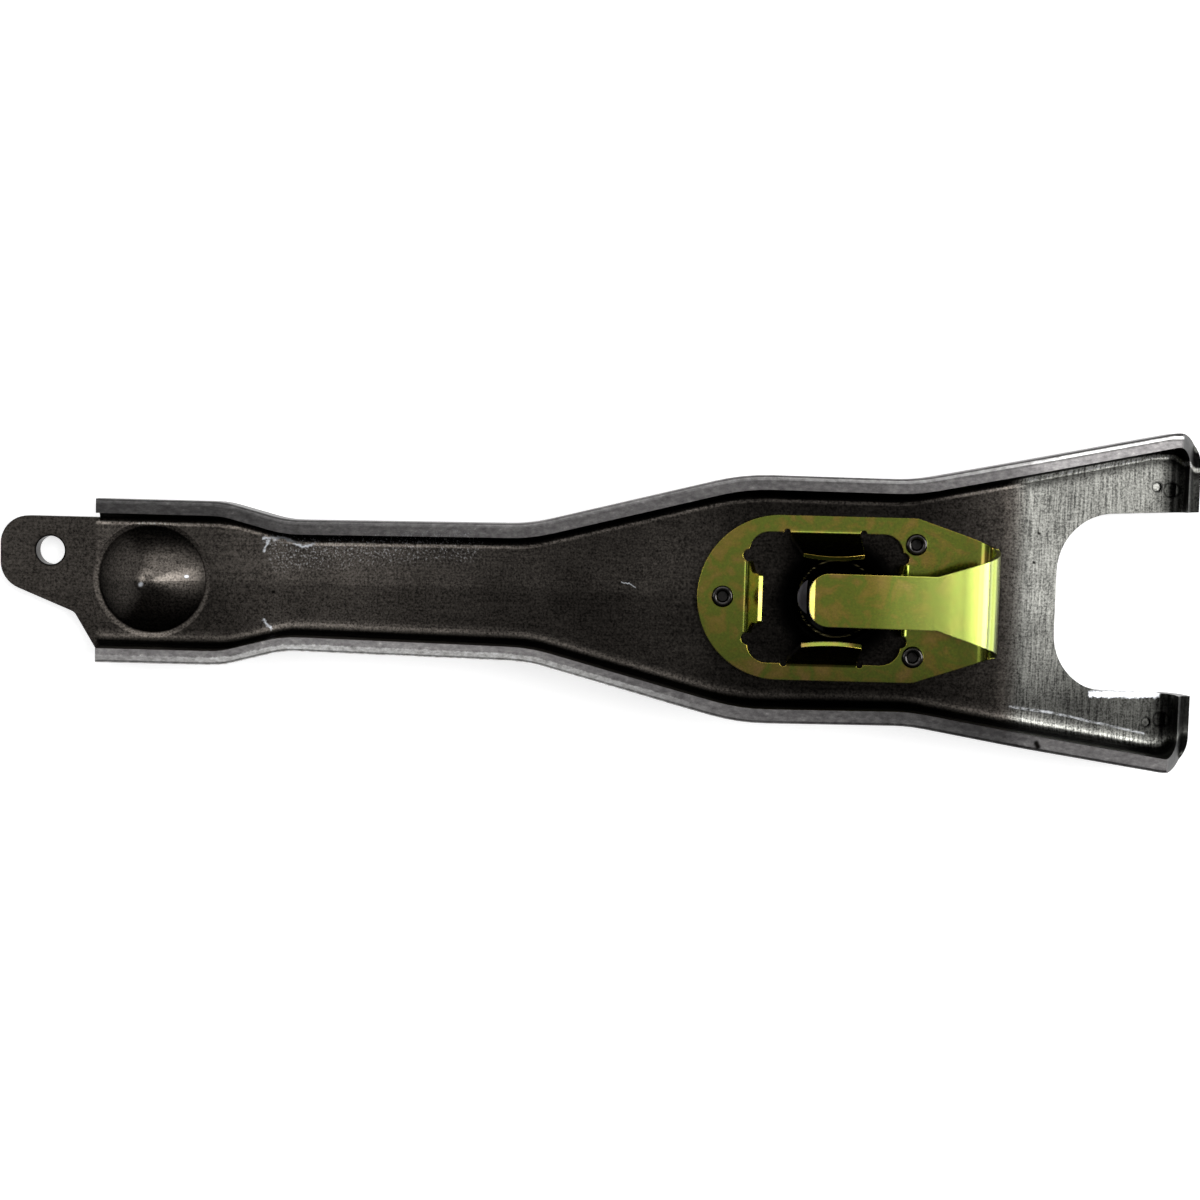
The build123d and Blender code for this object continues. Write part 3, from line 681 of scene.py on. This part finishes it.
# A painted highlight: a lit crescent on the socket's wall beside the tongue's tip, on the arm's side
rubbed_round = (-5.9, 0.2, 0)
crescent = add(tree, "VectorMath", {"operation": "DISTANCE", 1: rubbed_round},
               {0: flat_place}).outputs["Value"]
crescent = look_up(tree, crescent, [(0, 1), (5.2, 1), (5.5, 0), (9, 0)])
arm_side = look_up(tree, x, [(-12, 1), (-8.3, 1), (-8.0, 0), (9, 0)])
crescent = product(tree, [crescent, arm_side])
base = add(tree, "Mix", {"data_type": "RGBA", 7: linear("#d2ced6")},
           {0: crescent, 6: base}).outputs[2]
# The painted highlights are made rougher, so that they spread the lamps' light
satin = add(tree, "Math", {"operation": "MAXIMUM"}, {0: ring, 1: crescent}).outputs[0]
satin = add(tree, "Math", {"operation": "MAXIMUM"}, {0: satin, 1: spots}).outputs[0]
# The grease is wet and clear at its surface, deep in the bowl
wet = add(tree, "MapRange", {"interpolation_type": "SMOOTHSTEP", "From Min": 10.0,
                             "From Max": 12.0, "To Min": 0.5, "To Max": 0.0},
          {"Value": from_pivot}).outputs[0]

print("steel: with grease,", len(tree.nodes), "nodes")

# %% Pressed steel: surface
# Pale grains are a little rougher, torn metal rougher still, the painted highlights rougher
# again, and wet grease is smooth
roughness = add(tree, "MapRange", {"From Min": 0.35, "From Max": 2.1,
                                   "To Min": 0.30, "To Max": 0.40}, {"Value": grain_level})
rough = add(tree, "Mix", {"data_type": "FLOAT", 3: 0.45},
            {0: sheared.outputs[0], 2: roughness.outputs[0]})
rough = add(tree, "Mix", {"data_type": "FLOAT", 3: 0.16}, {0: greasy, 2: rough.outputs[0]})
rough = add(tree, "Mix", {"data_type": "FLOAT", 3: 0.6}, {0: satin, 2: rough.outputs[0]})
relief = add(tree, "Bump", {"Strength": 0.3, "Distance": 0.03 * MM}, {"Height": grain})
surface = add(tree, "BsdfPrincipled", {"Metallic": 1.0, "Coat Roughness": 0.08, "Coat IOR": 1.47},
              {"Base Color": base, "Roughness": rough.outputs[0], "Coat Weight": wet,
               "Normal": relief.outputs[0]})
add(tree, "OutputMaterial", links={"Surface": surface.outputs[0]})
lever.data.materials.clear()
lever.data.materials.append(steel)
print("steel has", len(tree.nodes), "nodes")

# %% [markdown]
# ## The plated clip
#
# The clip is spring steel with bright zinc under a yellow chromate film. The film is a few
# tenths of a micrometre thick and its colour follows its thickness, so it drifts between
# olive, green, gold and pink over a centimetre or so. Its rounded sheared edges are painted a
# lighter gold, partly the film's colour and partly a painted highlight. A thin clear sealer
# over it whitens the highlights. On the tongue a paler yellow is painted towards the curl, as
# a painted highlight, and its tone along it is painted light as well. The tongue isn't quite
# flat either: the strip is bowed where it comes off the curl, so it grows brighter towards
# the curl. The bow is less than the sheet's tolerance, so it is in the shading and not in the
# mesh. Rounded edges could be cut into the mesh too, but the Bevel node finds them while it
# shades and moves nothing. The side grips' steep faces are painted nearly black as shade.

# %% Yellow-chromated zinc: film, edges and specks
zinc = bpy.data.materials.new("yellow_chromated_zinc")
zinc.use_nodes = True
tree = zinc.node_tree
tree.nodes.clear()
coordinates = add(tree, "TexCoord")
place = add(tree, "VectorMath", {"operation": "SCALE", "Scale": 1 / MM},
            {0: coordinates.outputs["Object"]}).outputs[0]
axes = add(tree, "SeparateXYZ", links={0: place})
# The film's thickness drifts in patches about 8 mm wide
film = add(tree, "TexNoise", {"Scale": 0.12, "Detail": 4.0, "Roughness": 0.55,
                              "Distortion": 0.3}, {"Vector": place})
hue = add(tree, "ValToRGB", links={"Fac": film.outputs["Fac"]},
          stops=[(0.30, "#ac9046"), (0.42, "#9a8b36"), (0.49, "#838c2e"), (0.55, "#7f8d2e"),
                 (0.62, "#978b36"), (0.72, "#b0904e")])
# The sheared edges are a little rounded, and painted a lighter gold: partly the film's colour,
# partly a painted highlight
rounded = add(tree, "Bevel", {"samples": 6, "Radius": 0.35 * MM})
facing = add(tree, "NewGeometry")
alike = add(tree, "VectorMath", {"operation": "DOT_PRODUCT"},
            {0: rounded.outputs[0], 1: facing.outputs["Normal"]})
rim = add(tree, "MapRange", {"From Min": 0.99, "From Max": 0.85, "To Min": 0.0, "To Max": 0.8},
          {"Value": alike.outputs["Value"]})
hue = add(tree, "Mix", {"data_type": "RGBA", 7: linear("#c09c48")},
          {0: rim.outputs[0], 6: hue.outputs["Color"]})
# Half-millimetre specks, drawn coarser than the real crystals
specks = add(tree, "TexNoise", {"Scale": 1.7, "Detail": 3.0, "Roughness": 0.7},
             {"Vector": place}).outputs["Fac"]
speck_tone = add(tree, "MapRange", {"From Min": 0.3, "From Max": 0.7,
                                    "To Min": 0.86, "To Max": 1.14}, {"Value": specks})
hue = add(tree, "VectorMath", {"operation": "SCALE"},
          {0: hue.outputs[2], "Scale": speck_tone.outputs[0]})
print("zinc: film and specks need", len(tree.nodes), "nodes")

# %% Yellow-chromated zinc: tongue, frame, painted light and shade
# Painted light along the tongue, brightest along its middle and dimmed where the curl's
# highlight is strongest, and painted shade across the frame under it, darker on its near side
tongue_tone = look_up(tree, axes.outputs["X"], [
    (-42, 1.05), (2, 1.1), (9, 1.35), (15, 1.9), (24, 1.9), (30, 1.35), (33, 0.6), (38, 0.52),
    (39.5, 0.95), (42, 1.2),
])
on_tongue = add(tree, "MapRange", {"From Min": 1.0, "From Max": 2.0},
                {"Value": axes.outputs["Z"]}).outputs[0]
frame_tone = look_up(tree, axes.outputs["Y"], [(-24, 0.65), (-14, 0.85), (0, 1.0), (24, 1.0)])
# A painted highlight: the tongue's hue is paled towards the curl, where the lamp's reflection
# whitens it
thinning = look_up(tree, axes.outputs["X"], [(-42, 0), (8, 0), (34, 0.85), (42, 0.9)])
thinned = product(tree, [on_tongue, thinning])
hue = add(tree, "Mix", {"data_type": "RGBA", 7: linear("#c0d066")},
          {0: thinned, 6: hue.outputs[0]})
tone = add(tree, "Mix", {"data_type": "FLOAT"}, {0: on_tongue, 2: frame_tone, 3: tongue_tone})
hue = add(tree, "VectorMath", {"operation": "SCALE"},
          {0: hue.outputs[2], "Scale": tone.outputs[0]})
# Painted shade: the two side grips' steep faces are painted nearly black, as the shade and
# dark reflection they show
steep = add(tree, "SeparateXYZ", links={0: facing.outputs["Normal"]})
steep = look_up(tree, steep.outputs["Z"], [(-1, 1), (0.62, 1), (0.72, 0), (1, 0)])
beside = add(tree, "Math", {"operation": "ABSOLUTE"}, {0: axes.outputs["Y"]})
beside = look_up(tree, beside.outputs[0], [(0, 0), (8.6, 0), (9.0, 1), (24, 1)])
between = look_up(tree, axes.outputs["X"], [
    (-42, 0), (-14, 0), (-13, 1), (13, 1), (14, 0), (42, 0),
])
oily = product(tree, [steep, beside, between])
hue = add(tree, "Mix", {"data_type": "RGBA", 7: linear("#141204")}, {0: oily, 6: hue.outputs[0]})
rough = add(tree, "MapRange", {"From Min": 0.3, "From Max": 0.7, "To Min": 0.15, "To Max": 0.22},
            {"Value": specks})
print("zinc: with tongue and oil,", len(tree.nodes), "nodes")

# %% Yellow-chromated zinc: bow and surface
# The bow of the tongue, as a height that falls with the square of the place along it
past_middle = add(tree, "Math", {"operation": "SUBTRACT", 1: 4.0}, {0: axes.outputs["X"]})
past_middle = add(tree, "Math", {"operation": "MAXIMUM", 1: 0.0}, {0: past_middle.outputs[0]})
bow = add(tree, "Math", {"operation": "POWER", 1: 2.0}, {0: past_middle.outputs[0]})
fall = add(tree, "MapRange", {"From Min": 1.0, "From Max": 2.0, "To Min": 0.0,
                              "To Max": -0.0034}, {"Value": axes.outputs["Z"]})
bow = product(tree, [bow.outputs[0], fall.outputs[0]])
bowed = add(tree, "Bump", {"Strength": 1.0, "Distance": 1.0 * MM},
            {"Height": bow, "Normal": rounded.outputs[0]})
relief = add(tree, "Bump", {"Strength": 0.2, "Distance": 0.02 * MM},
             {"Height": specks, "Normal": bowed.outputs[0]})
surface = add(tree, "BsdfPrincipled",
              {"Metallic": 1.0, "Coat Weight": 0.5, "Coat Roughness": 0.1, "Coat IOR": 1.5},
              {"Base Color": hue.outputs[2], "Roughness": rough.outputs[0],
               "Normal": relief.outputs[0]})
add(tree, "OutputMaterial", links={"Surface": surface.outputs[0]})
clip = nodes["pivot_retainer_clip"]
clip.data.materials.clear()
clip.data.materials.append(zinc)
print("zinc has", len(tree.nodes), "nodes")

# %% [markdown]
# ## The rivets
#
# The three tubular rivets are phosphated: a nearly black crystal skin that holds oil. The
# oil film catches a thin highlight on the rolled end. The real crystals are a few hundredths
# of a millimetre across, and are drawn at 0.4 mm. Rough dark paint would look alike from
# afar, but only a metal under a clear coat keeps that thin highlight.

# %% Phosphated rivets
phosphate = bpy.data.materials.new("oiled_phosphated_steel")
phosphate.use_nodes = True
tree = phosphate.node_tree
tree.nodes.clear()
coordinates = add(tree, "TexCoord")
place = add(tree, "VectorMath", {"operation": "SCALE", "Scale": 1 / MM},
            {0: coordinates.outputs["Object"]})
crystals = add(tree, "TexNoise", {"Scale": 2.5, "Detail": 3.0}, {"Vector": place.outputs[0]})
skin = add(tree, "ValToRGB", links={"Fac": crystals.outputs["Fac"]},
           stops=[(0.3, "#191716"), (0.7, "#322e2b")])
relief = add(tree, "Bump", {"Strength": 0.3, "Distance": 0.02 * MM},
             {"Height": crystals.outputs["Fac"]})
surface = add(tree, "BsdfPrincipled",
              {"Metallic": 1.0, "Roughness": 0.25, "Coat Weight": 0.7, "Coat Roughness": 0.1,
               "Coat IOR": 1.47},
              {"Base Color": skin.outputs["Color"], "Normal": relief.outputs[0]})
add(tree, "OutputMaterial", links={"Surface": surface.outputs[0]})
for number in (1, 2, 3):
    rivet = nodes[f"clip_rivet_{number}"]
    rivet.data.materials.clear()
    rivet.data.materials.append(phosphate)
print("phosphate has", len(tree.nodes), "nodes, on", number, "rivets")

# %% [markdown]
# ## Finish
# #
# # The scene is brought up to date at the end.

# %% Finish
bpy.context.view_layer.update()
